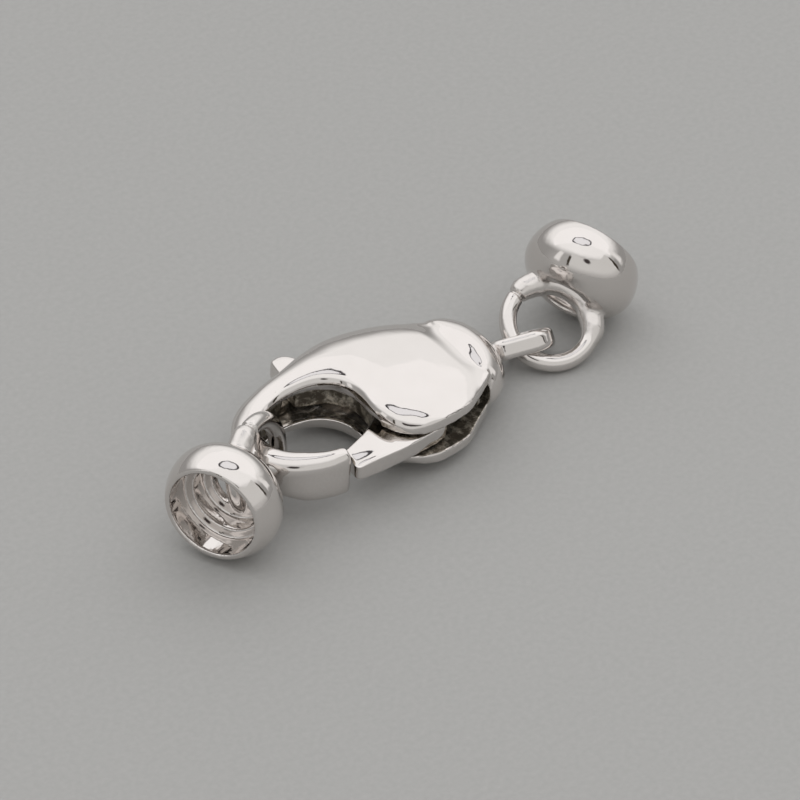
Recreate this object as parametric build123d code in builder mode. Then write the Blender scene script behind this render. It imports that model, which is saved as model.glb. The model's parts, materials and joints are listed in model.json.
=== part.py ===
# Lobster clasp with two glue-in cord ends, linked and lying on a table.
# Each piece is drawn flat about its own origin and then laid on the table.
# In the finished part X runs along the clasp from the claw to the collar, Y to the thumb tab's side, Z up.
# The origin is on the table, under the middle of the whole finding.
import os
from math import asin, cos, degrees, radians, sin
from build123d import *

os.makedirs("parts", exist_ok=True)

# Casting. Its own origin is on its long axis, in the plane between the two shells.
claw_reach = 11.35          # from the origin to the outer end of the hook
collar_face = 6.5          # from the origin to the face where the shells meet the collar
far_reach = 6.0            # from the long axis to the widest point on the tab's side
near_reach = 5.0           # from the long axis to the widest point on the gate's side
crown_half_height = 2.4    # middle plane to the crown of the shells
crown_offset = 1.0         # the crown line lies this far to the tab's side
section_half_width = 7.0   # half width of the arched sections, wider than the casting
beyond = 2.0               # how far the cutting shapes reach past the casting
outer_rounding = 0.8       # edge round the outside
rim_rounding = 0.45        # edge round the claw's opening

# Claw opening
opening_far = 2.5          # from the long axis to the spine's inner side
opening_front = 9.5        # from the origin to the inside of the hook
nose_tip = 5.8             # from the origin to the end of the hook's nose

# Hollow between the shells
slot_height = 1.75         # gap between the shells on the gate's side
hollow_height = 2.5        # gap between the shells further in
hollow_end = 6.35          # from the origin to the hollow's rear wall
wall = 1.0                 # outer wall on the tab's side
lip_width = 1.9            # how far the slot's thicker lips reach in from the gate's side
window_front = -5.1        # ends of the window that the thumb tab slides in
window_rear = 1.7

# Collar, the swelling behind the shells
collar_length = 2.75
collar_half_width = 3.8
collar_half_height = 2.42
collar_offset = 0.35          # the collar and the eye sit this far to the tab's side
collar_rounding = 0.3

# Lever with gate and thumb tab
lever_thickness = 1.45
gate_reach = 5.62          # from the origin to the gate's tip
tab_reach = 6.95           # from the long axis to the outer edge of the thumb tab
boss_radius = 1.1
heel = 0.9                 # how far the boss runs on behind the pin, along the gate's side
tip_rounding = 0.4
lever_rounding = 0.15
pin_along = 0.7            # place of the pin along the clasp
pin_inset = 1.25           # from the gate's side to the pin
pin_across = pin_inset - near_reach
pin_radius = 0.45
pin_length = 3.2
pin_clearance = 0.05       # between the pin and the lever's hole
seat_clearance = 0.02      # between the pin and its two blind seats in the shells

# Coil spring behind the lever
spring_radius = 0.58       # to the middle of its wire
spring_wire_radius = 0.14
spring_length = 3.0
spring_turns = 5
spring_along = 2.5         # place of its front end along the clasp
spring_inset = 1.55        # from the gate's side to its front end
spring_across = spring_inset - near_reach
spring_turn = 14           # its axis leans this much to the tab's side

# Eye at the rear, a half-round band with a headed stem
band_width = 1.2
band_thickness = 0.45
band_rounding = 0.4
eye_inner_width = 2.75
eye_length = 4.88           # from its root to its closed end
eye_root_width = 2.2
eye_web = 0.35             # extra thickness of the loop where the stem joins it
eye_gap = 0.15             # between the collar and the eye's root
stem_radius = 0.5
stem_clearance = 0.25      # the eye hangs loosely in its hole
head_radius = 0.9
head_thickness = 0.45
head_gap = 0.15            # between the head and the hollow's rear wall
eye_roll = -39             # turned about the clasp's long axis
eye_droop = 6.8              # sags in its loose hole

# Cord cup, round a bore for 6 mm cord
cord_bore_radius = 3.05
cup_wall = 0.92            # wall of the bore at the widest point
cup_radius = cord_bore_radius + cup_wall
mouth_length = 1.85        # from the widest point to the mouth
back_length = 2.3          # from the widest point to the back
front_curve = 3.5          # half length of the oval that the front half follows
back_curve = 2.75          # the same for the back half
cord_bore_depth = 2.0
step_bore_radius = 2.4
back_wall = 0.8
back_hole_radius = 1.75

# Jump ring soldered across the cup's back
ring_inner_radius = 2.25
ring_wire_radius = 0.6
ring_sunk = 0.25           # how far the ring's near side is let into the cup's back
solder_radius = 0.85       # thickened stretch where the ring meets the cup
solder_length = 0.8        # how far the solder reaches behind the cup
ring_cut = 0.12            # saw cut where the ring was closed
ring_cut_turn = -98        # place of the cut, from the ring's far side

# How the pieces lie, seen from the casting's origin
clasp_pitch = 3.0          # the ring in the hook props it up
hook_slack = 0.829         # along the clasp, from the hook's inner side to the ring's inner far side
hook_cup_across = -2.85
hook_cup_turn = 206.0
hook_cup_lift = 3.8
hook_cup_roll = 9.2
eye_slack = 1.418          # the same from the eye's inner end to its ring
eye_cup_across = 1.89
eye_cup_turn = 21.6
eye_cup_lift = 22.5
eye_cup_roll = -66.3

# Outlines as shares of the casting's reaches: along (claw or collar), across (tab's or gate's side)
OUTER = (
    (1.000, 0.592), (0.667, 0.825), (0.302, 0.950), (-0.052, 1.000), (-0.226, 0.950),
    (-0.417, 0.842), (-0.643, 0.717), (-0.861, 0.500), (-0.974, 0.217), (-1.000, -0.120),
    (-0.935, -0.520), (-0.791, -0.800), (-0.626, -0.930), (-0.480, -0.960), (-0.250, -0.990),
    (0.080, -1.000), (0.380, -0.970), (0.698, -0.850), (1.000, -0.620),
)
# The claw's opening, as shares of opening_front and of opening_far or, on the gate's side, half near_reach
OPENING = (
    (-0.660, -1.390), (-0.750, -1.280), (-0.860, -1.020), (-0.950, -0.720), (-1.000, -0.280),
    (-0.970, 0.280), (-0.870, 0.720), (-0.690, 0.970), (-0.510, 1.000), (-0.360, 0.820), (-0.266, 0.440),
    (-0.229, -0.080), (-0.236, -0.560), (-0.237, -0.900), (-0.224, -1.180), (-0.201, -1.440),
    (-0.166, -1.680), (-0.118, -1.860), (-0.050, -1.955),
)
# Arched sections of the shells: place along, crown and side as shares of the crown's half height
ARCHES = (
    (-1.130, 0.460, 0.100), (-0.870, 0.700, 0.330), (-0.565, 0.900, 0.480),
    (-0.087, 1.000, 0.670), (0.397, 0.960, 0.670), (1.000, 0.800, 0.550),
)
# Inner edge of the slot's lips, before lip_width is added
LIP = (
    (0.977, -0.600), (0.698, -0.820), (0.380, -0.950), (0.100, -1.000), (-0.130, -0.960), (-0.226, -0.900),
)
# The lever from the gate's tip round the boss, up the arm's rear side to the thumb tab
LEVER_REAR = (
    (0.280, -0.640), (0.205, -0.300), (0.115, 0.083), (0.035, 0.367), (-0.052, 0.633), (-0.110, 0.800),
)
# The thumb tab's edge: along as before, across as shares of tab_reach
TAB = (
    (-0.157, 0.720), (-0.174, 0.842), (-0.208, 0.911), (-0.253, 0.984), (-0.300, 1.000), (-0.355, 0.970),
)
LEVER_FRONT = (
    (-0.400, 0.560), (-0.313, 0.492), (-0.226, 0.417), (-0.165, 0.283), (-0.133, 0.100), (-0.140, -0.080),
    (-0.170, -0.300), (-0.237, -0.426), (-0.320, -0.548), (-0.415, -0.626), (-0.479, -0.662),
)


def along(share):
    return share * (collar_face if share > 0 else claw_reach)


def across(share):
    return share * (far_reach if share > 0 else near_reach)


def crown_edges(part):
    """The long edges of both crowns: round the outside and round the claw's opening."""
    at_crown = [e for e in part.edges() if abs(e.center().Z) > crown_half_height / 2]
    return [e for e in at_crown if e.length > 1.5 * opening_front]


# Casting: the outline, raised and cut to the arched crown
with BuildPart() as arch:
    for place, crown, side in ARCHES:
        crown_height = crown * crown_half_height
        side_height = side * crown_half_height
        with BuildSketch(Plane(origin=(along(place), crown_offset, 0), x_dir=(0, 1, 0), z_dir=(1, 0, 0))):
            with BuildLine():
                near_edge = (-section_half_width, side_height)
                far_edge = (section_half_width, side_height)
                far_bottom = (section_half_width, -side_height)
                near_bottom = (-section_half_width, -side_height)
                top = ThreePointArc(near_edge, (0, crown_height), far_edge)
                bottom = ThreePointArc(far_bottom, (0, -crown_height), near_bottom)
                Line(top @ 1, bottom @ 0)
                Line(bottom @ 1, top @ 0)
            make_face()
    loft()

with BuildPart() as casting:
    with BuildSketch():
        with BuildLine():
            edge = Spline(*[(along(a), across(c)) for a, c in OUTER])
            Line(edge @ 1, edge @ 0)
        make_face()
    extrude(amount=crown_half_height + beyond, both=True)
    add(arch.part, mode=Mode.INTERSECT)

# The claw's opening, with the mouth open to the gate's side
opening_points = [(a * opening_front, c * (opening_far if c > 0 else near_reach / 2)) for a, c in OPENING]
with BuildPart() as opening:
    with BuildSketch():
        with BuildLine():
            inner = Spline(*opening_points)
            nose_out = (-1.13 * nose_tip, -1.06 * near_reach)
            mouth_rear = (opening_points[-1][0], -near_reach - beyond)
            mouth_front = (nose_out[0], -near_reach - beyond)
            Polyline(inner @ 1, mouth_rear, mouth_front, nose_out)
            ThreePointArc(nose_out, (-nose_tip, -0.84 * near_reach), inner @ 0)
        make_face()
    extrude(amount=crown_half_height + beyond, both=True)

# Slot, hollow and thumb window between the shells
spine_points = [(along(a), across(c) - wall) for a, c in OUTER[1:7]]
rear_point = (hollow_end, spine_points[0][1] - wall)
front_point = (-0.88 * opening_front, 0.92 * opening_far)
with BuildPart() as hollow:
    with BuildSketch() as slot_plan:
        with BuildLine():
            back = Spline(rear_point, *spine_points, front_point)
            Polyline(
                back @ 1, (-0.63 * opening_front, 0), (-0.32 * opening_front, -0.58 * near_reach),
                (-0.32 * opening_front, -near_reach - beyond), (hollow_end, -near_reach - beyond), back @ 0,
            )
        make_face()
        with Locations(((window_front + window_rear) / 2, far_reach)):
            Rectangle(window_rear - window_front, 2.5 * beyond)
    extrude(amount=slot_height / 2, both=True)
    with BuildSketch():
        with BuildLine():
            back = Spline(rear_point, *spine_points, front_point)
            lip = Spline(*[(along(a), across(c) + lip_width) for a, c in LIP])
            Line(back @ 0, lip @ 0)
            Polyline(lip @ 1, (-0.63 * opening_front, 0), back @ 1)
        make_face()
    extrude(amount=hollow_height / 2, both=True)

# Collar: half an oval ball with a flat face toward the shells
with BuildPart() as collar:
    Sphere(collar_length)
    scale(by=(1, collar_half_width / collar_length, collar_half_height / collar_length))
    split(bisect_by=Plane.YZ, keep=Keep.TOP)
    fillet(collar.edges().group_by(Axis.X)[0], collar_rounding)

with BuildPart() as body:
    add(casting.part)
    add(opening.part, mode=Mode.SUBTRACT)
    fillet(sorted(crown_edges(body), key=lambda e: e.center().Y)[-2:], outer_rounding)
    fillet(sorted(crown_edges(body), key=lambda e: e.center().Y)[:2], rim_rounding)
    add(hollow.part, mode=Mode.SUBTRACT)
    with Locations((collar_face, collar_offset, 0)):
        add(collar.part)
    with Locations(Location((collar_face, collar_offset, 0), (0, 90, 0))):
        Cylinder(stem_radius + stem_clearance, 3 * collar_length, mode=Mode.SUBTRACT)
    with Locations((pin_along, pin_across, 0)):
        Cylinder(pin_radius + seat_clearance, pin_length + 2 * seat_clearance, mode=Mode.SUBTRACT)

# Lever: gate, boss, arm and thumb tab in one
with BuildPart() as lever_blank:
    with BuildSketch():
        with BuildLine():
            rear = Spline(*[(along(a), across(c)) for a, c in LEVER_REAR])
            tab = Spline(*[(along(a), c * tab_reach) for a, c in TAB])
            front = Spline(*[(along(a), across(c)) for a, c in LEVER_FRONT])
            Line(rear @ 1, tab @ 0)
            Line(tab @ 1, front @ 0)
            tip = Line(front @ 1, (-gate_reach, -1.01 * near_reach))
            boss_bottom = (pin_along + heel, pin_across - 0.95 * boss_radius)
            boss_side = (pin_along + heel + 0.45 * boss_radius, pin_across - 0.55 * boss_radius)
            gate_middle = (-0.55 * gate_reach, -1.03 * near_reach)
            gate = Spline(tip @ 1, gate_middle, (-0.1 * gate_reach, -near_reach), boss_bottom)
            ThreePointArc(boss_bottom, boss_side, rear @ 0)
        make_face()
    extrude(amount=lever_thickness / 2, both=True)
    fillet(lever_blank.edges().filter_by(Axis.Z).sort_by(Axis.Y)[0], tip_rounding)
    faces_at = lever_thickness / 2 - 0.01
    fillet([e for e in lever_blank.edges() if abs(e.center().Z) > faces_at], lever_rounding)
    with Locations((pin_along, pin_across, 0)):
        Cylinder(pin_radius + pin_clearance, lever_thickness + beyond, mode=Mode.SUBTRACT)

with BuildPart() as pin:
    with Locations((pin_along, pin_across, 0)):
        Cylinder(pin_radius, pin_length)

# Coil spring, drawn upright and laid along the clasp
with BuildPart() as coil:
    with BuildLine():
        turns = Helix(spring_length / spring_turns, spring_length, spring_radius)
    with BuildSketch(Plane(origin=turns @ 0, z_dir=turns % 0)):
        Circle(spring_wire_radius)
    sweep()

# Rear eye: the band round a tapering loop, its root, stem and head
with BuildPart() as eye:
    root = 0.5 * eye_root_width
    outer_radius = eye_inner_width / 2 + band_thickness
    with BuildSketch():
        with Locations((root, 0)):
            Circle(root)
        with Locations((eye_length - outer_radius, 0)):
            Circle(outer_radius)
        make_hull()
    extrude(amount=band_width / 2, both=True)
    fillet([e for e in eye.edges() if abs(e.center().Z) > band_width / 2 - 0.01], band_rounding)
    with BuildSketch():
        with Locations((root + eye_web, 0)):
            Circle(root - band_thickness)
        with Locations((eye_length - outer_radius, 0)):
            Circle(eye_inner_width / 2)
        make_hull()
    extrude(amount=band_width, both=True, mode=Mode.SUBTRACT)
    stem_length = collar_length + eye_gap + (collar_face - hollow_end) + head_gap
    with Locations(Location((root - (stem_length + root) / 2, 0, 0), (0, 90, 0))):
        Cylinder(stem_radius, stem_length + root)
    with Locations(Location((-stem_length - head_thickness / 2, 0, 0), (0, 90, 0))):
        Cylinder(head_radius, head_thickness)

# Cord cup about its own axis, mouth up; the jump ring stands in the plane through that axis
with BuildPart() as ring:
    Torus(ring_inner_radius + ring_wire_radius, ring_wire_radius, rotation=(90, 0, 0))
    with Locations(Location((0, 0, 0), (0, ring_cut_turn, 0))):
        with Locations((0, 0, -ring_inner_radius - ring_wire_radius)):
            Box(ring_cut, 3 * ring_wire_radius, 3 * ring_wire_radius, mode=Mode.SUBTRACT)

ring_centre = -back_length + ring_sunk - ring_inner_radius
with BuildPart() as solder:
    with Locations((0, 0, ring_centre)):
        Torus(ring_inner_radius + ring_wire_radius, solder_radius, rotation=(90, 0, 0))
    with Locations((0, 0, -back_length - solder_length + (back_wall + solder_length) / 2)):
        Box(4 * ring_inner_radius, 4 * ring_inner_radius, back_wall + solder_length, mode=Mode.INTERSECT)

with BuildPart() as cup:
    with BuildSketch(Plane.XZ):
        with BuildLine():
            front_sweep = degrees(asin(mouth_length / front_curve))
            back_sweep = degrees(asin(back_length / back_curve))
            front_arc = EllipticalCenterArc((0, 0), cup_radius, front_curve, 0, arc_size=front_sweep)
            back_arc = EllipticalCenterArc((0, 0), cup_radius, back_curve, 0, arc_size=-back_sweep)
            floor = mouth_length - cord_bore_depth
            wall_top = back_wall - back_length
            Polyline(
                front_arc @ 1, (cord_bore_radius, mouth_length), (cord_bore_radius, floor),
                (step_bore_radius, floor), (step_bore_radius, wall_top),
                (back_hole_radius, wall_top), (back_hole_radius, -back_length), back_arc @ 1,
            )
        make_face()
    revolve(axis=Axis.Z)
    add(solder.part)
    with Locations((0, 0, ring_centre)):
        add(ring.part)


def tilted(turn, lift, roll):
    """Lie of a cup: its axis at this compass turn and lift, rolled about itself from a standing ring."""
    level = cos(radians(lift))
    axis = Vector(level * cos(radians(turn)), level * sin(radians(turn)), sin(radians(lift)))
    standing = Plane(origin=(0, 0, 0), z_dir=axis, x_dir=Vector(0, 0, 1) - axis * axis.Z)
    return standing.location * Location((0, 0, 0), (0, 0, roll))


def lowest(part, lie):
    return part.moved(lie).bounding_box().min.Z


# Where each piece lies: everything rests on the table
clasp_turned = Location((0, 0, 0), (0, clasp_pitch, 0))
clasp_lie = Location((0, 0, -lowest(body.part, clasp_turned))) * clasp_turned
spring_place = Location((spring_along, spring_across, 0), (0, 0, spring_turn))
spring_lie = clasp_lie * spring_place * Location((0, 0, 0), (0, 90, 0))
eye_middle = collar_face + collar_length / 2
eye_lie = (clasp_lie * Location((eye_middle, collar_offset, 0), (0, eye_droop, 0))
           * Location((collar_length / 2 + eye_gap, 0, 0), (eye_roll, 0, 0)))
ring_far = Location((0, 0, ring_centre - ring_inner_radius))
hook_cup_turned = tilted(hook_cup_turn, hook_cup_lift, hook_cup_roll)
hook_cup_height = -lowest(cup.part, hook_cup_turned)
hook_cup_along = hook_slack - opening_front - (hook_cup_turned * ring_far).position.X
hook_cup_lie = Location((hook_cup_along, hook_cup_across, hook_cup_height)) * hook_cup_turned
eye_end = collar_face + collar_length + eye_gap + eye_length - band_thickness
eye_cup_turned = tilted(eye_cup_turn, eye_cup_lift, eye_cup_roll)
eye_cup_height = -lowest(cup.part, eye_cup_turned)
eye_cup_along = eye_end - eye_slack - (eye_cup_turned * ring_far).position.X
eye_cup_lie = Location((eye_cup_along, eye_cup_across, eye_cup_height)) * eye_cup_turned

laid = (
    (body, clasp_lie), (lever_blank, clasp_lie), (pin, clasp_lie), (coil, spring_lie),
    (eye, eye_lie), (cup, hook_cup_lie), (cup, eye_cup_lie),
)
box = Compound([piece.part.moved(lie) for piece, lie in laid]).bounding_box()
middle = Location((-box.center().X, -box.center().Y, -box.min.Z))

with BuildPart() as clasp_body:
    with Locations(middle * clasp_lie):
        add(body.part)
with BuildPart() as lever:
    with Locations(middle * clasp_lie):
        add(lever_blank.part)
with BuildPart() as lever_pin:
    with Locations(middle * clasp_lie):
        add(pin.part)
with BuildPart() as lever_spring:
    with Locations(middle * spring_lie):
        add(coil.part)
with BuildPart() as end_eye:
    with Locations(middle * eye_lie):
        add(eye.part)
with BuildPart() as hook_end_cup:
    with Locations(middle * hook_cup_lie):
        add(cup.part)
with BuildPart() as eye_end_cup:
    with Locations(middle * eye_cup_lie):
        add(cup.part)

clasp_body.part.label = "clasp_body"
export_step(clasp_body.part, "parts/clasp_body.step")
lever.part.label = "lever"
export_step(lever.part, "parts/lever.step")
lever_pin.part.label = "lever_pin"
export_step(lever_pin.part, "parts/lever_pin.step")
lever_spring.part.label = "lever_spring"
export_step(lever_spring.part, "parts/lever_spring.step")
end_eye.part.label = "end_eye"
export_step(end_eye.part, "parts/end_eye.step")
hook_end_cup.part.label = "hook_end_cup"
export_step(hook_end_cup.part, "parts/hook_end_cup.step")
eye_end_cup.part.label = "eye_end_cup"
export_step(eye_end_cup.part, "parts/eye_end_cup.step")
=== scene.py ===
import json
import math

import bmesh
import bpy
import numpy as np
from mathutils import Matrix, Vector, kdtree, noise


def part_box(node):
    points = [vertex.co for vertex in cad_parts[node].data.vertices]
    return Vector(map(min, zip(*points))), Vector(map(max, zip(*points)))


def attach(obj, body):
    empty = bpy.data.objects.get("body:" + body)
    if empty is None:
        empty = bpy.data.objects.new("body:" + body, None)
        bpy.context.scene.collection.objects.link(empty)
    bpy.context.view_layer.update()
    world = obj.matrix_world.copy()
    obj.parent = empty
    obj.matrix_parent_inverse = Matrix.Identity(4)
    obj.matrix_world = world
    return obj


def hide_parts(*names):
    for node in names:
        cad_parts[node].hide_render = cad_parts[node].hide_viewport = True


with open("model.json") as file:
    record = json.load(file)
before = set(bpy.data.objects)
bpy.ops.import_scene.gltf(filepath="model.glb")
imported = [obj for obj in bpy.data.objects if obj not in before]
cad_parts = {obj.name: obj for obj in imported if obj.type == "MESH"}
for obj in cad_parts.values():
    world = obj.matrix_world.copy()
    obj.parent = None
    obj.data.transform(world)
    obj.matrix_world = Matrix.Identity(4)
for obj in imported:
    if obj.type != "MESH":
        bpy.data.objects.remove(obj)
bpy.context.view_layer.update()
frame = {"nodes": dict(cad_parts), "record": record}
nodes = frame["nodes"]
MM = 0.001
scene = bpy.context.scene
scene.view_settings.view_transform = "Standard"

# Camera, in mm. It stands on the gate's side and toward the claw, and the clasp's long axis is turned
# from the picture's width. The picture's middle shows a point right of and behind a base point on the floor.
CAMERA_TURN = math.radians(-37)
CAMERA_RISE = math.radians(40)
CAMERA_FAR = 400.0
AIM_BASE = (-1.817, -0.158, 0)
AIM_RIGHT = 1.2
AIM_BEHIND = 3.6
SENSOR_WIDTH = 36
FOCAL_LENGTH = 272.73
NEAREST_SEEN = 0.01             # in metres, as the next one
FARTHEST_SEEN = 5
# The way to the camera: right as in the picture, deep as level and away from the camera, and straight up
TO_CAMERA = Vector((0, -math.cos(CAMERA_RISE), math.sin(CAMERA_RISE)))

view_turn = Matrix.Rotation(CAMERA_TURN, 3, "Z")
away = view_turn @ TO_CAMERA
aim = view_turn @ Vector((AIM_RIGHT, AIM_BEHIND, 0)) + Vector(AIM_BASE)
camera_data = bpy.data.cameras.new("camera")
camera = bpy.data.objects.new("camera", camera_data)
scene.collection.objects.link(camera)
camera.location = (aim + away * CAMERA_FAR) * MM
camera.rotation_mode = "QUATERNION"
camera.rotation_quaternion = (-away).to_track_quat("-Z", "Y")
camera_data.sensor_width = SENSOR_WIDTH
camera_data.lens = FOCAL_LENGTH
camera_data.clip_start = NEAREST_SEEN
camera_data.clip_end = FARTHEST_SEEN
scene.camera = camera

# The casting's own frame, in mm: X along the clasp to the collar, Y to the thumb tab's side, Z up
CASTING_TURN = math.radians(3)
PIN_OWN = Vector((0.7, -3.75, 0))
pin_low, pin_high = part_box("lever_pin")
casting_turn = Matrix.Rotation(CASTING_TURN, 3, "Y")
casting_origin = (pin_low + pin_high) / 2 / MM - casting_turn @ PIN_OWN
TO_CASTING = np.array(casting_turn.transposed())
ORIGIN = np.array(casting_origin)


# Helpers for materials
def new_material(name):
    made = bpy.data.materials.new(name)
    made.use_nodes = True
    return made, made.node_tree, made.node_tree.nodes["Principled BSDF"]


def add_node(tree, kind, inputs=None, **settings):
    node = tree.nodes.new(kind)
    for key, value in settings.items():
        setattr(node, key, value)
    for key, value in (inputs or {}).items():
        node.inputs[key].default_value = value
    return node


def maths(tree, operation, *values):
    """A Math node whose inputs are numbers or other nodes' outputs."""
    node = add_node(tree, "ShaderNodeMath", operation=operation)
    for place, value in enumerate(values):
        if isinstance(value, (int, float)):
            node.inputs[place].default_value = value
        else:
            tree.links.new(value, node.inputs[place])
    return node.outputs[0]


def smooth_step(tree, value, low, high):
    """0 below low, 1 above high, eased between."""
    limits = {"From Min": low, "From Max": high}
    node = add_node(tree, "ShaderNodeMapRange", limits, interpolation_type="SMOOTHSTEP")
    tree.links.new(value, node.inputs["Value"])
    return node.outputs["Result"]


def mix_colour(tree, share, first, second):
    """The first colour where the share is 0, the second where it is 1."""
    node = add_node(tree, "ShaderNodeMix", data_type="RGBA")
    for place, value in ((0, share), (6, first), (7, second)):
        if isinstance(value, tuple):
            node.inputs[place].default_value = value
        else:
            tree.links.new(value, node.inputs[place])
    return node.outputs[2]


def noise_value(tree, scale, detail, rough=0.5):
    """Cloudy noise laid out over the object."""
    settings = {"Scale": scale, "Detail": detail, "Roughness": rough}
    node = add_node(tree, "ShaderNodeTexNoise", settings)
    place = add_node(tree, "ShaderNodeTexCoord").outputs["Object"]
    tree.links.new(place, node.inputs["Vector"])
    return node.outputs[0]


def attribute(tree, name):
    """A value that the mesh carries at its points, 0 where it carries none."""
    return add_node(tree, "ShaderNodeAttribute", attribute_name=name).outputs["Fac"]


# Materials: colours, scales of noise in waves per metre, and roughness
PLATE_LOW = (0.69, 0.657, 0.632, 1)
PLATE_HIGH = (0.745, 0.711, 0.69, 1)
PLATE_CLOUD = {"scale": 450.0, "detail": 3.0}
PLATE_PITS = {"scale": 2600.0, "detail": 2.0}
PLATE_ROUGH = 0.035
CLOUD_ROUGH = 0.05              # how much rougher where the cloud is full
SOLDER_ROUGH = 0.2
INNER_ROUGH = 0.24
INNER_METAL_LOSS = 0.25
# Rough cast inside the hollow, coloured with painted shade: dark brown with paler grains, darker than the
# metal because shade falls in the hollow
CAST_SHADE_LOW = (0.13, 0.11, 0.085, 1)
CAST_SHADE_HIGH = (0.74, 0.68, 0.58, 1)
CAST_GRAIN = {"scale": 1300.0, "detail": 5.0, "rough": 0.75}
CAST_SHADE_SPAN = (0.44, 0.68)       # the noise values that become the two colours
CAST_GRAIN_HEIGHT = 14.0             # times the pits' own
BUMP = {"Strength": 0.12, "Distance": 0.00002}
WIRE_LOW = (0.30, 0.28, 0.25, 1)
WIRE_HIGH = (0.46, 0.43, 0.39, 1)
WIRE_GRAIN = {"scale": 3000.0, "detail": 2.0}
WIRE_ROUGH = 0.25
WIRE_GRAIN_ROUGH = 0.2
CARD_LOW = (0.390, 0.388, 0.380, 1)
CARD_HIGH = (0.462, 0.460, 0.450, 1)
CARD_GRAIN = {"scale": 2400.0, "detail": 3.0}
CARD_ROUGH = 0.7
CARD_SHINE = 0.2


def polished_plate():
    """Plated metal. Attribute 'inner' is 1 on the rough inside faces, which are coloured with painted shade,
    and 'dull' is 1 on solder.
    """
    made, tree, shader = new_material("polished_plate")
    inside = attribute(tree, "inner")
    cloud = noise_value(tree, **PLATE_CLOUD)
    pits = noise_value(tree, **PLATE_PITS)
    cast_grain = noise_value(tree, **CAST_GRAIN)
    bright = mix_colour(tree, cloud, PLATE_LOW, PLATE_HIGH)
    # painted shade: the inside faces take the dark colour of the shaded rough cast
    dark = mix_colour(tree, smooth_step(tree, cast_grain, *CAST_SHADE_SPAN), CAST_SHADE_LOW, CAST_SHADE_HIGH)
    tree.links.new(mix_colour(tree, inside, bright, dark), shader.inputs["Base Color"])
    rough = maths(tree, "MULTIPLY_ADD", cloud, CLOUD_ROUGH, PLATE_ROUGH)
    rough = maths(tree, "MULTIPLY_ADD", inside, INNER_ROUGH, rough)
    rough = maths(tree, "MULTIPLY_ADD", attribute(tree, "dull"), SOLDER_ROUGH, rough)
    tree.links.new(rough, shader.inputs["Roughness"])
    metal = maths(tree, "MULTIPLY_ADD", inside, -INNER_METAL_LOSS, 1.0)
    tree.links.new(metal, shader.inputs["Metallic"])
    bump = add_node(tree, "ShaderNodeBump", BUMP)
    crust = maths(tree, "MULTIPLY", inside, cast_grain)
    tree.links.new(maths(tree, "MULTIPLY_ADD", crust, CAST_GRAIN_HEIGHT, pits), bump.inputs["Height"])
    tree.links.new(bump.outputs[0], shader.inputs["Normal"])
    return made


def spring_wire():
    made, tree, shader = new_material("spring_wire")
    grain = noise_value(tree, **WIRE_GRAIN)
    tree.links.new(mix_colour(tree, grain, WIRE_LOW, WIRE_HIGH), shader.inputs["Base Color"])
    rough = maths(tree, "MULTIPLY_ADD", grain, WIRE_GRAIN_ROUGH, WIRE_ROUGH)
    tree.links.new(rough, shader.inputs["Roughness"])
    shader.inputs["Metallic"].default_value = 1
    return made


def floor_card():
    made, tree, shader = new_material("floor_card")
    grain = noise_value(tree, **CARD_GRAIN)
    tree.links.new(mix_colour(tree, grain, CARD_LOW, CARD_HIGH), shader.inputs["Base Color"])
    shader.inputs["Roughness"].default_value = CARD_ROUGH
    shader.inputs["Specular IOR Level"].default_value = CARD_SHINE
    return made


body_metal = polished_plate()
spring_metal = spring_wire()
for name, node in nodes.items():
    node.data.materials.clear()
    node.data.materials.append(spring_metal if name == "lever_spring" else body_metal)


# Helpers for meshes, which are in mm until they are finished
REMESH_SMOOTHING = 0.5
REMESH_ROUNDS = 5
RELAX_STEP = 0.5
CURVE_STEPS = 80                # points on each stretch of a curve


def remeshed(name, source, voxel, extra=None):
    """A closed, even mesh of a CAD node, joined with an extra closed form."""
    shape = bmesh.new()
    shape.from_mesh(source.data)
    bmesh.ops.scale(shape, vec=(1 / MM, 1 / MM, 1 / MM), verts=shape.verts)
    if extra:
        extra(shape)
    mesh = bpy.data.meshes.new(name + "_raw")
    shape.to_mesh(mesh)
    shape.free()
    raw = bpy.data.objects.new(name + "_raw", mesh)
    scene.collection.objects.link(raw)
    remesh = raw.modifiers.new("remesh", "REMESH")
    remesh.mode = "VOXEL"
    remesh.voxel_size = voxel
    smooth = raw.modifiers.new("smooth", "SMOOTH")
    smooth.factor = REMESH_SMOOTHING
    smooth.iterations = REMESH_ROUNDS
    graph = bpy.context.evaluated_depsgraph_get()
    made = bpy.data.meshes.new_from_object(raw.evaluated_get(graph))
    bpy.data.objects.remove(raw)
    bpy.data.meshes.remove(mesh)
    made.name = name
    return made


def add_ball(shape, lie, sizes, fineness):
    """An oval ball with these half sizes."""
    matrix = lie @ Matrix.Diagonal((*sizes, 1))
    bmesh.ops.create_icosphere(shape, subdivisions=fineness, radius=1, matrix=matrix)


def coordinates(mesh):
    co = np.empty(len(mesh.vertices) * 3)
    mesh.vertices.foreach_get("co", co)
    return co.reshape(-1, 3)


def vertex_normals(mesh, co):
    mesh.vertices.foreach_set("co", co.ravel())
    mesh.update()
    normals = np.empty(len(mesh.vertices) * 3)
    mesh.vertex_normals.foreach_get("vector", normals)
    return normals.reshape(-1, 3)


def own(co):
    """Points in the casting's own frame."""
    return (co - ORIGIN) @ TO_CASTING.T


def back_from_own(at):
    return at @ TO_CASTING + ORIGIN


def relaxed(mesh, co, weight, rounds):
    """Each point drawn toward the middle of its neighbours, as far as its weight says."""
    edges = np.empty(len(mesh.edges) * 2, np.int64)
    mesh.edges.foreach_get("vertices", edges)
    one, two = edges.reshape(-1, 2).T
    count = len(co)
    degree = np.bincount(one, minlength=count) + np.bincount(two, minlength=count)
    pull = (RELAX_STEP * weight * np.ones(count))[:, None]
    for _ in range(rounds):
        total = np.stack([
            np.bincount(one, co[two, axis], count) + np.bincount(two, co[one, axis], count)
            for axis in range(3)
        ], axis=1)
        co = co + pull * (total / degree[:, None] - co)
    return co


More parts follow.
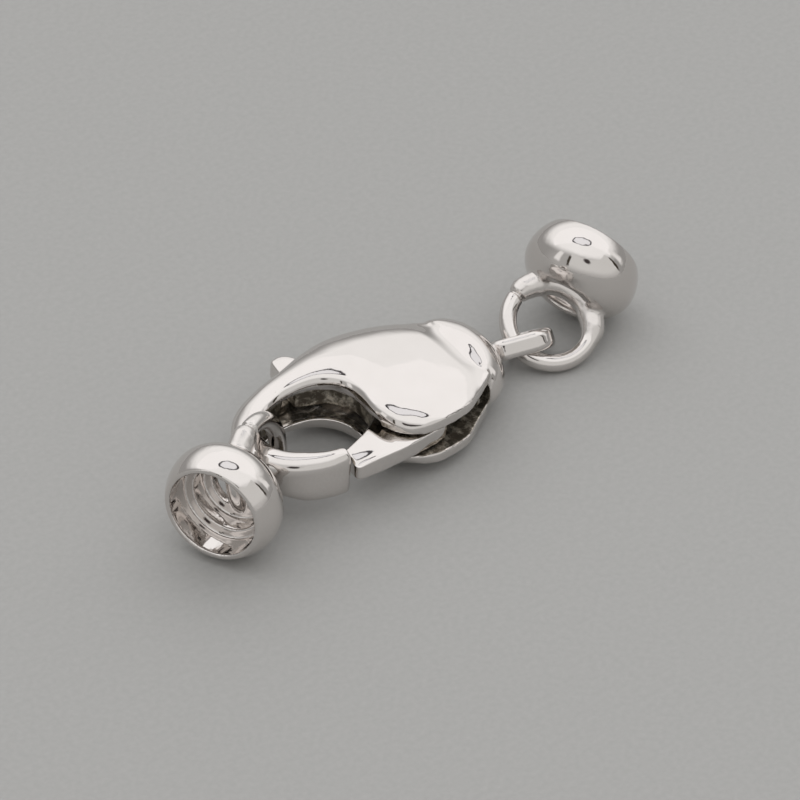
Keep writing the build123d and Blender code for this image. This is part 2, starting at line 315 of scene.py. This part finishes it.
def rippled(co, normals, depth, length, seed):
    """Low waves of hand polishing."""
    shift = Vector((seed, 2 * seed, 3 * seed))
    height = np.array([noise.noise(Vector(point) / length + shift) for point in co])
    return co + normals * (depth * height)[:, None]


def smooth_curve(points):
    """Close points on a smooth open line through the given ones."""
    given = np.array(points, float)
    given = np.vstack([2 * given[0] - given[1], given, 2 * given[-1] - given[-2]])
    share = np.linspace(0, 1, CURVE_STEPS, endpoint=False)[:, None]
    runs = []
    for a, b, c, d in zip(given[:-3], given[1:-2], given[2:-1], given[3:]):
        runs.append(b + 0.5 * share * (
            c - a + share * (2 * a - 5 * b + 4 * c - d + share * (3 * (b - c) + d - a))))
    return np.vstack(runs)


def distance_to(curve, points):
    """How far each point is from the curve, seen along Z."""
    tree = kdtree.KDTree(len(curve))
    for place, (x, y) in enumerate(curve):
        tree.insert((x, y, 0), place)
    tree.balance()
    return np.array([tree.find((x, y, 0))[2] for x, y in points[:, :2]])


def eased(values, zero_at, full_at):
    """0 at the first place, 1 at the second and past it, eased between. Either place may be the larger."""
    share = np.clip((values - zero_at) / (full_at - zero_at), 0, 1)
    return share * share * (3 - 2 * share)


def region(at, x=(), y=(), z=(), level=()):
    """1 inside, 0 outside. Pairs say where it is 0 and where 1. Level is how far from the middle plane."""
    share = np.ones(len(at))
    for values, pairs in zip((*at.T, np.abs(at[:, 2])), (x, y, z, level)):
        for zero_at, full_at in pairs:
            share = share * eased(values, zero_at, full_at)
    return share


def edge_share(distance, reach):
    """1 at an edge, rounding off to 0 at its reach."""
    return np.clip(1 - distance / reach, 0, 1) ** 2


def mark(mesh, name, values):
    """A value from 0 to 1 at each point, for the materials."""
    layer = mesh.attributes.new(name, "FLOAT", "POINT")
    layer.data.foreach_set("value", np.clip(values, 0, 1).astype(np.float32))


def finished(name, mesh, co, node, body):
    """The mesh, back in metres, as a piece in place of its CAD node."""
    mesh.vertices.foreach_set("co", (co * MM).ravel())
    mesh.update()
    mesh.polygons.foreach_set("use_smooth", [True] * len(mesh.polygons))
    piece = bpy.data.objects.new(name, mesh)
    scene.collection.objects.link(piece)
    mesh.materials.clear()
    mesh.materials.append(body_metal)
    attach(piece, body)
    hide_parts(node)


# The casting's outline and the claw's opening, in the casting's own frame, in mm
OUTLINE = (
    (6.5, 3.55), (4.34, 4.95), (1.96, 5.7), (-0.59, 6.0), (-2.57, 5.7), (-4.73, 5.05), (-7.3, 4.3),
    (-9.77, 3.0), (-11.05, 1.3), (-11.35, -0.6), (-10.61, -2.6), (-8.98, -4.0), (-7.11, -4.65),
    (-5.45, -4.8), (-2.84, -4.95), (0.52, -5.0), (2.47, -4.85), (4.54, -4.25), (6.5, -3.1),
)
OPENING = (
    (-6.27, -3.48), (-7.13, -3.2), (-8.17, -2.55), (-9.03, -1.8), (-9.5, -0.7), (-9.22, 0.7),
    (-8.27, 1.8), (-6.56, 2.43), (-4.85, 2.5), (-3.42, 2.05), (-2.53, 1.1), (-2.18, -0.2),
    (-2.24, -1.4), (-2.25, -2.25), (-2.13, -2.95), (-1.91, -3.6), (-1.58, -4.2), (-1.12, -4.65),
)
outline_curve = smooth_curve(OUTLINE)
opening_curve = smooth_curve(OPENING)

# The casting's shells, in mm. A reach is how far in from an edge a rise or fall is felt, and a region's
# pairs say where its share is 0 and where it is 1.
CASTING_VOXEL = 0.094
SWELL = 0.30                    # rise between the edges
SWELL_LESS = 0.18               # less of it beside the gate
SWELL_REACH = 2.6
SWELL_LEVEL = {"x": ((6.6, 4.6),), "level": ((0.85, 2.0),)}
BY_LOBE = {"x": ((-4.0, -2.5), (3.5, 0.5)), "y": ((0.0, -1.8),)}
FAR_ROLL = 0.42
FAR_ROLL_REACH = 3.2
FAR_SIDE = {"y": ((0.5, 3.0),)}
NEAR_ROLL = 0.20
NEAR_ROLL_REACH = 1.2
NEAR_SIDE = {"y": ((0.5, -3.0),)}
BEVEL_SLOPE = 0.19
BEVEL_WIDTH = 1.45
BEVEL_FADE = 0.3
BEVEL_SIDE = {"y": ((-0.5, 1.0),)}
BEVEL_END = (4.0, 3.0)          # distances from the opening
DIP = 0.32
DIP_REACH = 1.5
HEEL = {"x": ((-1.6, 1.0), (5.8, 3.2)), "y": ((-3.0, -4.8),)}
UPPER_HEEL_BULGE = 0.3
LOWER_HEEL_BULGE = 0.5
NOSE = {"x": ((-10.6, -8.4), (-4.5, -5.1)), "y": ((-2.0, -3.6),)}
UNDER_NOSE = {"z": ((-0.2, -1.3),)}
NOSE_DROP = 0.4
# What is relaxed: the collar's seam, the lobe beside the gate and the nose's end
SEAM = {"x": ((4.7, 5.7), (7.7, 6.7)), "y": ((-2.4, -1.2), (2.9, 1.7)), "level": ((1.0, 1.5),)}
SEAM_PULL = 0.95
SEAM_ROUNDS = 200
LOBE_TIP = (-0.5, -4.9)
LOBE_SPAN = (1.6, 0.5)
LOBE_LEVEL = {"level": ((0.9, 1.3),)}
NOSE_TIP = (-5.7, -4.6)
NOSE_SPAN = (1.4, 0.5)
TIP_PULL = 0.9
NOSE_PULL = 0.8
TIP_ROUNDS = 50
CASTING_ROUNDS = 2
# The inside that is rough cast and coloured with painted shade, without the faces that look out and the
# bright edge under the opening
HOLLOW = {"x": ((-9.3, -8.6), (6.55, 6.35)), "level": ((1.34, 1.24),)}
NEAR_FACE = {"y": ((-2.6, -3.2),)}
NEAR_LOOK = (-0.25, -0.6)
FAR_FACE = {"y": ((2.9, 3.6),)}
FAR_LOOK = (0.0, 0.3)
BRIGHT_EDGE = {"z": ((-1.0, -1.15),)}
BRIGHT_REACH = (0.45, 0.25)
DEEP_SPAN = (0.3, 0.9)          # distances from the outline
CASTING_RIPPLE = {"depth": 0.012, "length": 1.9, "seed": 3.1}
HOLLOW_RIPPLE = {"depth": 0.10, "length": 0.7, "seed": 8.2}
# The collar's swelling
COLLAR_MIDDLE = (6.45, 0.45, 0.1)
COLLAR_SIZES = (2.7, 4.0, 2.6)
COLLAR_FINENESS = 5
COLLAR_FLAT = (6.3, 0, 0)
CUT_TOLERANCE = 1e-6


def collar_swell(shape):
    """Half an oval ball, flat toward the shells."""
    half = bmesh.new()
    casting_lie = Matrix.Translation(casting_origin) @ casting_turn.to_4x4()
    add_ball(half, casting_lie @ Matrix.Translation(COLLAR_MIDDLE), COLLAR_SIZES, COLLAR_FINENESS)
    cut = bmesh.ops.bisect_plane(
        half, geom=half.verts[:] + half.edges[:] + half.faces[:], dist=CUT_TOLERANCE, clear_inner=True,
        plane_co=casting_origin + casting_turn @ Vector(COLLAR_FLAT),
        plane_no=casting_turn @ Vector((1, 0, 0)))
    edges = [item for item in cut["geom_cut"] if isinstance(item, bmesh.types.BMEdge)]
    bmesh.ops.holes_fill(half, edges=edges)
    mesh = bpy.data.meshes.new("half_ball")
    half.to_mesh(mesh)
    half.free()
    shape.from_mesh(mesh)
    bpy.data.meshes.remove(mesh)


def shell_lift(at, outer_far, opening_far):
    """The shells swell between their edges, roll off to the outline and dip to the claw's opening."""
    inward = 1 - edge_share(np.minimum(outer_far, opening_far), SWELL_REACH)
    lift = (SWELL - SWELL_LESS * region(at, **BY_LOBE)) * inward
    lift -= FAR_ROLL * edge_share(outer_far, FAR_ROLL_REACH) * region(at, **FAR_SIDE)
    lift -= NEAR_ROLL * edge_share(outer_far, NEAR_ROLL_REACH) * region(at, **NEAR_SIDE)
    bevel = BEVEL_SLOPE * BEVEL_FADE * np.log1p(np.exp((BEVEL_WIDTH - opening_far) / BEVEL_FADE))
    beyond_claw = region(at, **BEVEL_SIDE) * eased(opening_far, *BEVEL_END)
    dip = DIP * edge_share(opening_far, DIP_REACH)
    lift -= bevel * beyond_claw + dip * (1 - beyond_claw)
    return lift * region(at, **SWELL_LEVEL)


def tip_share(at, tip, span):
    """1 at the tip seen along Z, 0 away from it."""
    return eased(np.hypot(at[:, 0] - tip[0], at[:, 1] - tip[1]), *span)


def shade_painted_inside(at, outward, opening_far):
    """1 on the faces of the hollow and the claw's inside, which are coloured with painted shade, 0 on those
    that look out.
    """
    near_face = region(at, **NEAR_FACE) * eased(outward[:, 1], *NEAR_LOOK)
    far_face = region(at, **FAR_FACE) * eased(outward[:, 1], *FAR_LOOK)
    bright_edge = region(at, **BRIGHT_EDGE) * eased(opening_far, *BRIGHT_REACH)
    return region(at, **HOLLOW) * (1 - near_face) * (1 - far_face) * (1 - bright_edge)


def make_casting():
    mesh = remeshed("clasp_casting", nodes["clasp_body"], CASTING_VOXEL, collar_swell)
    at = own(coordinates(mesh))
    outer_far = distance_to(outline_curve, at)
    opening_far = distance_to(opening_curve, at)
    at[:, 2] += np.sign(at[:, 2]) * shell_lift(at, outer_far, opening_far)
    # the shells bulge over the lever's heel, and the hook's nose hangs lower on the gate's side
    at[:, 1] -= region(at, **HEEL) * np.where(at[:, 2] > 0, UPPER_HEEL_BULGE, LOWER_HEEL_BULGE)
    at[:, 2] -= NOSE_DROP * region(at, **NOSE) * region(at, **UNDER_NOSE)
    lobe = tip_share(at, LOBE_TIP, LOBE_SPAN) * region(at, **LOBE_LEVEL)
    nose_end = tip_share(at, NOSE_TIP, NOSE_SPAN)
    co = relaxed(mesh, back_from_own(at), SEAM_PULL * region(at, **SEAM), SEAM_ROUNDS)
    co = relaxed(mesh, co, TIP_PULL * np.maximum(lobe, NOSE_PULL * nose_end), TIP_ROUNDS)
    co = relaxed(mesh, co, 1, CASTING_ROUNDS)
    normals = vertex_normals(mesh, co)
    inner = shade_painted_inside(own(co), normals @ TO_CASTING.T, opening_far)
    deep_in = inner * eased(outer_far, *DEEP_SPAN)
    co = rippled(co, normals, **CASTING_RIPPLE)
    co = rippled(co, normals * deep_in[:, None], **HOLLOW_RIPPLE)
    # the hollow's faces, marked for the rough cast and its painted shade
    mark(mesh, "inner", inner)
    finished("clasp_casting", mesh, co, "clasp_body", "clasp")


# The lever, in mm in the casting's frame
LEVER_VOXEL = 0.075
GATE = {"x": ((-2.2, -3.2),)}
GATE_RISE = 0.2
GATE_REACH = 1.8
LEVER_FALL = 0.2
LEVER_FALL_REACH = 1.1
TIP_X = -5.6
TIP_FALL = 0.22
TIP_REACH = 2.2
LEVER_TOP = {"y": ((-1.4, -3.0),), "z": ((0.3, 0.7),)}
KNOB = {"y": ((6.0, 6.35),)}    # the tab's end outside the casting
KNOB_THICKER = 0.1
KNOB_LONGER = 0.15
TAB = {"y": ((4.6, 5.4),)}
LEVER_HEEL = {"x": ((0.9, 1.6),), "y": ((-3.2, -3.8),)}
HEEL_PULL = 0.9
TAB_PULL = 0.7
HEEL_ROUNDS = 50
LEVER_ROUNDS = 4
LEVER_INSIDE = {"y": ((-2.2, -1.2), (4.6, 4.1))}
LEVER_RIPPLE = {"depth": 0.01, "length": 1.7, "seed": 5.3}


def make_lever():
    mesh = remeshed("gate_lever_form", nodes["lever"], LEVER_VOXEL)
    at = own(coordinates(mesh))
    outer_far = distance_to(outline_curve, at)
    lift = GATE_RISE * region(at, **GATE) * (1 - edge_share(outer_far, GATE_REACH))
    lift -= LEVER_FALL * edge_share(outer_far, LEVER_FALL_REACH)
    lift -= TIP_FALL * edge_share(at[:, 0] - TIP_X, TIP_REACH)
    at[:, 2] += lift * region(at, **LEVER_TOP)
    knob = region(at, **KNOB)
    at[:, 2] *= 1 + KNOB_THICKER * knob
    at[:, 1] += KNOB_LONGER * knob
    ends = np.maximum(TAB_PULL * region(at, **TAB), region(at, **LEVER_HEEL))
    co = relaxed(mesh, back_from_own(at), HEEL_PULL * ends, HEEL_ROUNDS)
    co = relaxed(mesh, co, 1, LEVER_ROUNDS)
    normals = vertex_normals(mesh, co)
    # the lever's stretch inside the casting gets the rough cast's painted shade too
    mark(mesh, "inner", region(own(co), **LEVER_INSIDE))
    co = rippled(co, normals, **LEVER_RIPPLE)
    finished("gate_lever_form", mesh, co, "lever", "gate_lever")


# The eye, in mm in the casting's frame. Its band is wider than the CAD's, across the plane of its loop.
EYE_VOXEL = 0.06
LOOP_ROLL = math.radians(-39)
BAND_MIDDLE = (8.0, 0.35, 0.0)
BAND_WIDER = 0.2
BAND = {"x": ((9.3, 9.9),)}
EYE_RIPPLE = {"depth": 0.008, "length": 1.2, "seed": 7.7}


def make_eye():
    mesh = remeshed("eye_band", nodes["end_eye"], EYE_VOXEL)
    co = coordinates(mesh)
    wide_way = np.array(casting_turn @ Vector((0, -math.sin(LOOP_ROLL), math.cos(LOOP_ROLL))))
    beside = (co - back_from_own(np.array(BAND_MIDDLE))) @ wide_way
    co = co + np.outer(beside * BAND_WIDER * region(own(co), **BAND), wide_way)
    co = rippled(co, vertex_normals(mesh, co), **EYE_RIPPLE)
    mark(mesh, "inner", np.zeros(len(co)))
    finished("eye_band", mesh, co, "end_eye", "clasp")


# The cups, in mm. Their own frame has Z out of the mouth and X across, in the plane of the ring.
CUP_VOXEL = 0.08
BORE_AHEAD = 0.85               # from the cup's widest circle to the middle of its bore
RING_BACK = -4.3                # along the cup's axis to its ring's middle
RING_RADIUS = 2.85
WIRE = 0.6
SWOLLEN_WIRE = 0.85             # where the solder is fullest
NEAR_WIRE = 0.92                # what is ring lies this near its wire's middle
RING_TOP = -2.45                # and this far back along the cup's axis
SWOLLEN_SPAN = (-4.2, -3.0)
DROP_ASIDE = 2.1
DROP_BACK = -2.5
DROP_SIZES = (0.95, 0.85, 0.75)
DROP_FINENESS = 4
CUT_TURN = math.radians(-98)
CUT_DEPTH = 0.45
CUT_WIDTH = 0.07
JOINT = {"z": ((-4.0, -3.2), (-1.7, -2.2))}
JOINT_PULL = 0.9
JOINT_ROUNDS = 20
CUP_ROUNDS = 2
DULL = {"z": ((-4.2, -3.4), (-1.9, -2.2))}
CUP_RIPPLE = {"depth": 0.01, "length": 1.8}
JOINT_RIPPLE = {"depth": 0.015, "length": 0.4}
JOINT_SEED = 2                  # what its seed is past the cup's
TINY = 1e-6
# Each piece with its node, its bore, its roll from a standing ring in degrees and its ripples' seed
CUPS = (
    ("hook_cup_form", "hook_end_cup", "hook_cord_bore", 9.2, 1.3),
    ("eye_cup_form", "eye_end_cup", "eye_cord_bore", -66.3, 4.1),
)


def cup_frame(bore_name, roll):
    """The middle of a cup's widest circle and its three ways, worked out from the frame's bore."""
    bore = next(mount for mount in frame["record"]["mounts"] if mount["name"] == bore_name)
    axis = Vector(bore["axis"]).normalized()
    middle = Vector(bore["pos_m"]) / MM - axis * BORE_AHEAD
    standing = (Vector((0, 0, 1)) - axis * axis.z).normalized()
    across = Matrix.Rotation(math.radians(roll), 3, axis) @ standing
    return middle, np.array((across, axis.cross(across), axis))


def ring_swelled(local):
    """The solder swells the wire little by little toward the cup, and a saw cut stands open on one side."""
    x, y, along = local[:, 0], local[:, 1], local[:, 2] - RING_BACK
    reach = np.hypot(x, along)
    outside = 1 - RING_RADIUS / reach
    from_wire = np.stack([x * outside, y, along * outside], axis=1)
    thick = np.linalg.norm(from_wire, axis=1)
    swelling = 1 + (SWOLLEN_WIRE / WIRE - 1) * eased(local[:, 2], *SWOLLEN_SPAN)
    past_cut = RING_RADIUS * (np.arctan2(-x, -along) - CUT_TURN)
    cut = 1 - CUT_DEPTH * np.exp(-(past_cut / CUT_WIDTH) ** 2)
    grown = np.minimum(thick * swelling, SWOLLEN_WIRE) * cut
    swelled = local - from_wire + from_wire * (grown / np.maximum(thick, TINY))[:, None]
    on_ring = (thick < NEAR_WIRE) & (local[:, 2] < RING_TOP)
    return np.where(on_ring[:, None], swelled, local)


def make_cup(name, node, bore_name, roll, seed):
    middle, ways = cup_frame(bore_name, roll)
    cup_lie = Matrix.Translation(middle) @ Matrix(ways.tolist()).transposed().to_4x4()

    def solder_drops(shape):
        for side in (DROP_ASIDE, -DROP_ASIDE):
            drop_lie = cup_lie @ Matrix.Translation((side, 0, DROP_BACK))
            add_ball(shape, drop_lie, DROP_SIZES, DROP_FINENESS)

    mesh = remeshed(name, nodes[node], CUP_VOXEL, solder_drops)
    local = ring_swelled((coordinates(mesh) - np.array(middle)) @ ways.T)
    joint = region(local, **JOINT)
    co = relaxed(mesh, local @ ways + np.array(middle), JOINT_PULL * joint, JOINT_ROUNDS)
    co = relaxed(mesh, co, 1, CUP_ROUNDS)
    normals = vertex_normals(mesh, co)
    co = rippled(co, normals, seed=seed, **CUP_RIPPLE)
    co = rippled(co, normals * joint[:, None], seed=seed + JOINT_SEED, **JOINT_RIPPLE)
    mark(mesh, "inner", np.zeros(len(co)))
    mark(mesh, "dull", region(local, **DULL))
    finished(name, mesh, co, node, "clasp")


make_casting()
make_lever()
make_eye()
for cup in CUPS:
    make_cup(*cup)

# Floor
FLOOR_REACH = 1                 # in metres
corners = [(x * FLOOR_REACH, y * FLOOR_REACH, 0) for x, y in ((-1, -1), (1, -1), (1, 1), (-1, 1))]
floor_mesh = bpy.data.meshes.new("floor")
floor_mesh.from_pydata(corners, [], [(0, 1, 2, 3)])
floor = bpy.data.objects.new("floor", floor_mesh)
scene.collection.objects.link(floor)
floor_mesh.materials.append(floor_card())

# The light tent. Its places are given right, deep and up, as the way to the camera is, or as turns from the
# camera's side in radians. A pair says where a share is 0 and where it is 1.
WALL = (0.36, 0.356, 0.348, 1)
NEAR_WALL = (0.47, 0.465, 0.455, 1)
NEAR_WALL_SPAN = (-0.1, 0.5)
TOP = (1.10, 1.095, 1.09, 1)
TOP_WAY = (0, 0.34, 0.94)
TOP_SPAN = (0.36, 0.70)
FAR_TOP = (1.19, 1.18, 1.18, 1)
FAR_TOP_UP = (0.585, 0.60)
FAR_TOP_DEEP = (0.0, 0.1)
FRONT = (0.74, 0.735, 0.72, 1)
FRONT_LEFT = (-0.76, -0.74)
FRONT_RIGHT = 1.46
FRONT_FOOT = (-0.05, 0.30)
FRONT_HEAD = 0.74
FRONT_SOFT = 0.02
UPRIGHT_FOOT = (0.10, 0.22)
UPRIGHT_HEAD = 0.66
UPRIGHT_SOFT = 0.10
DARK_EDGE = (0.05, 0.04, 0.03, 1)
DARK_TURNS = (-0.75, 1.46)
DARK_HALF = 0.05
DARK_SOFT = 0.02
SLIT = (0.95, 0.94, 0.93, 1)
SLIT_TURNS = (-1.12, 1.78)
SLIT_HALF = 0.14
SLIT_SOFT = 0.08
LENS = (0.06, 0.05, 0.05, 1)
LENS_SPAN = (0.986, 0.997)
LAMP = (1.03, 1.03, 1.06, 1)
LAMP_WAY = (0.05, 0.2, 1.0)
LAMP_SOFT = 0.03
LAMP_WIDE = math.radians(14)
LAMP_HIGH = math.radians(9)
LAMP_FRAME = (0.06, 0.055, 0.06, 1)
LAMP_FRAME_REACH = 1.22
LAMP_SIDE_SPAN = (0.5, 0.6)     # keeps the lamp from showing on the opposite side too


class Tent:
    """The world's light: the wall's colour, with the others painted over it."""

    def __init__(self, wall):
        world = bpy.data.worlds.new("tent")
        scene.world = world
        world.use_nodes = True
        self.tree = world.node_tree
        self.light = wall
        ray = add_node(self.tree, "ShaderNodeTexCoord").outputs["Generated"]
        spin = add_node(self.tree, "ShaderNodeVectorRotate", {"Angle": -CAMERA_TURN}, rotation_type="Z_AXIS")
        self.tree.links.new(ray, spin.inputs["Vector"])
        split = add_node(self.tree, "ShaderNodeSeparateXYZ")
        self.tree.links.new(spin.outputs[0], split.inputs[0])
        self.right, self.deep, self.up = split.outputs
        self.near = self.maths("MULTIPLY", self.deep, -1.0)
        self.turn = self.maths("ARCTAN2", self.right, self.near)

    def maths(self, operation, *values):
        return maths(self.tree, operation, *values)

    def both(self, first, second):
        return self.maths("MULTIPLY", first, second)

    def above(self, value, span):
        return smooth_step(self.tree, value, *span)

    def below(self, value, limit, soft):
        return smooth_step(self.tree, self.maths("SUBTRACT", limit, value), 0.0, soft)

    def toward(self, way):
        """How nearly a ray goes this way, as a cosine."""
        x, y, z = Vector(way).normalized()
        part = self.maths("MULTIPLY_ADD", self.deep, y, self.both(self.up, z))
        return self.maths("MULTIPLY_ADD", self.right, x, part)

    def paint(self, share, colour):
        self.light = mix_colour(self.tree, share, self.light, colour)

    def uprights(self, turns, half, soft, colour):
        """Upright stripes on the wall, reaching this far either way of their turns."""
        foot = self.above(self.up, UPRIGHT_FOOT)
        tall = self.both(foot, self.below(self.up, UPRIGHT_HEAD, UPRIGHT_SOFT))
        for turn in turns:
            beside = self.maths("ABSOLUTE", self.maths("SUBTRACT", self.turn, turn))
            self.paint(self.both(tall, self.below(beside, half, soft)), colour)

    def hang(self):
        background = self.tree.nodes["Background"]
        self.tree.links.new(self.light, background.inputs["Color"])
        background.inputs["Strength"].default_value = 1.0


tent = Tent(WALL)
tent.paint(tent.above(tent.near, NEAR_WALL_SPAN), NEAR_WALL)
tent.paint(tent.above(tent.toward(TOP_WAY), TOP_SPAN), TOP)
tent.paint(tent.both(tent.above(tent.up, FAR_TOP_UP), tent.above(tent.deep, FAR_TOP_DEEP)), FAR_TOP)
# a paler front between two dark upright edges, a bright slit past each, and the camera's own dark lens
front = tent.both(tent.above(tent.turn, FRONT_LEFT), tent.below(tent.turn, FRONT_RIGHT, FRONT_SOFT))
front = tent.both(front, tent.above(tent.up, FRONT_FOOT))
tent.paint(tent.both(front, tent.below(tent.up, FRONT_HEAD, FRONT_SOFT)), FRONT)
tent.uprights(DARK_TURNS, DARK_HALF, DARK_SOFT, DARK_EDGE)
tent.uprights(SLIT_TURNS, SLIT_HALF, SLIT_SOFT, SLIT)
tent.paint(tent.above(tent.toward(TO_CAMERA), LENS_SPAN), LENS)
# the oval lamp overhead, outlined by its dark frame
lamp = Vector(LAMP_WAY).normalized()
lamp_side = Vector((1, 0, 0)).cross(lamp).normalized()
wide = tent.maths("DIVIDE", tent.toward(lamp_side.cross(lamp)), math.sin(LAMP_WIDE))
high = tent.maths("DIVIDE", tent.toward(lamp_side), math.sin(LAMP_HIGH))
from_lamp = tent.maths("SQRT", tent.maths("MULTIPLY_ADD", wide, wide, tent.both(high, high)))
lamp_half = tent.above(tent.toward(lamp), LAMP_SIDE_SPAN)
tent.paint(tent.both(lamp_half, tent.below(from_lamp, LAMP_FRAME_REACH, LAMP_SOFT)), LAMP_FRAME)
tent.paint(tent.both(lamp_half, tent.below(from_lamp, 1.0, LAMP_SOFT)), LAMP)
tent.hang()
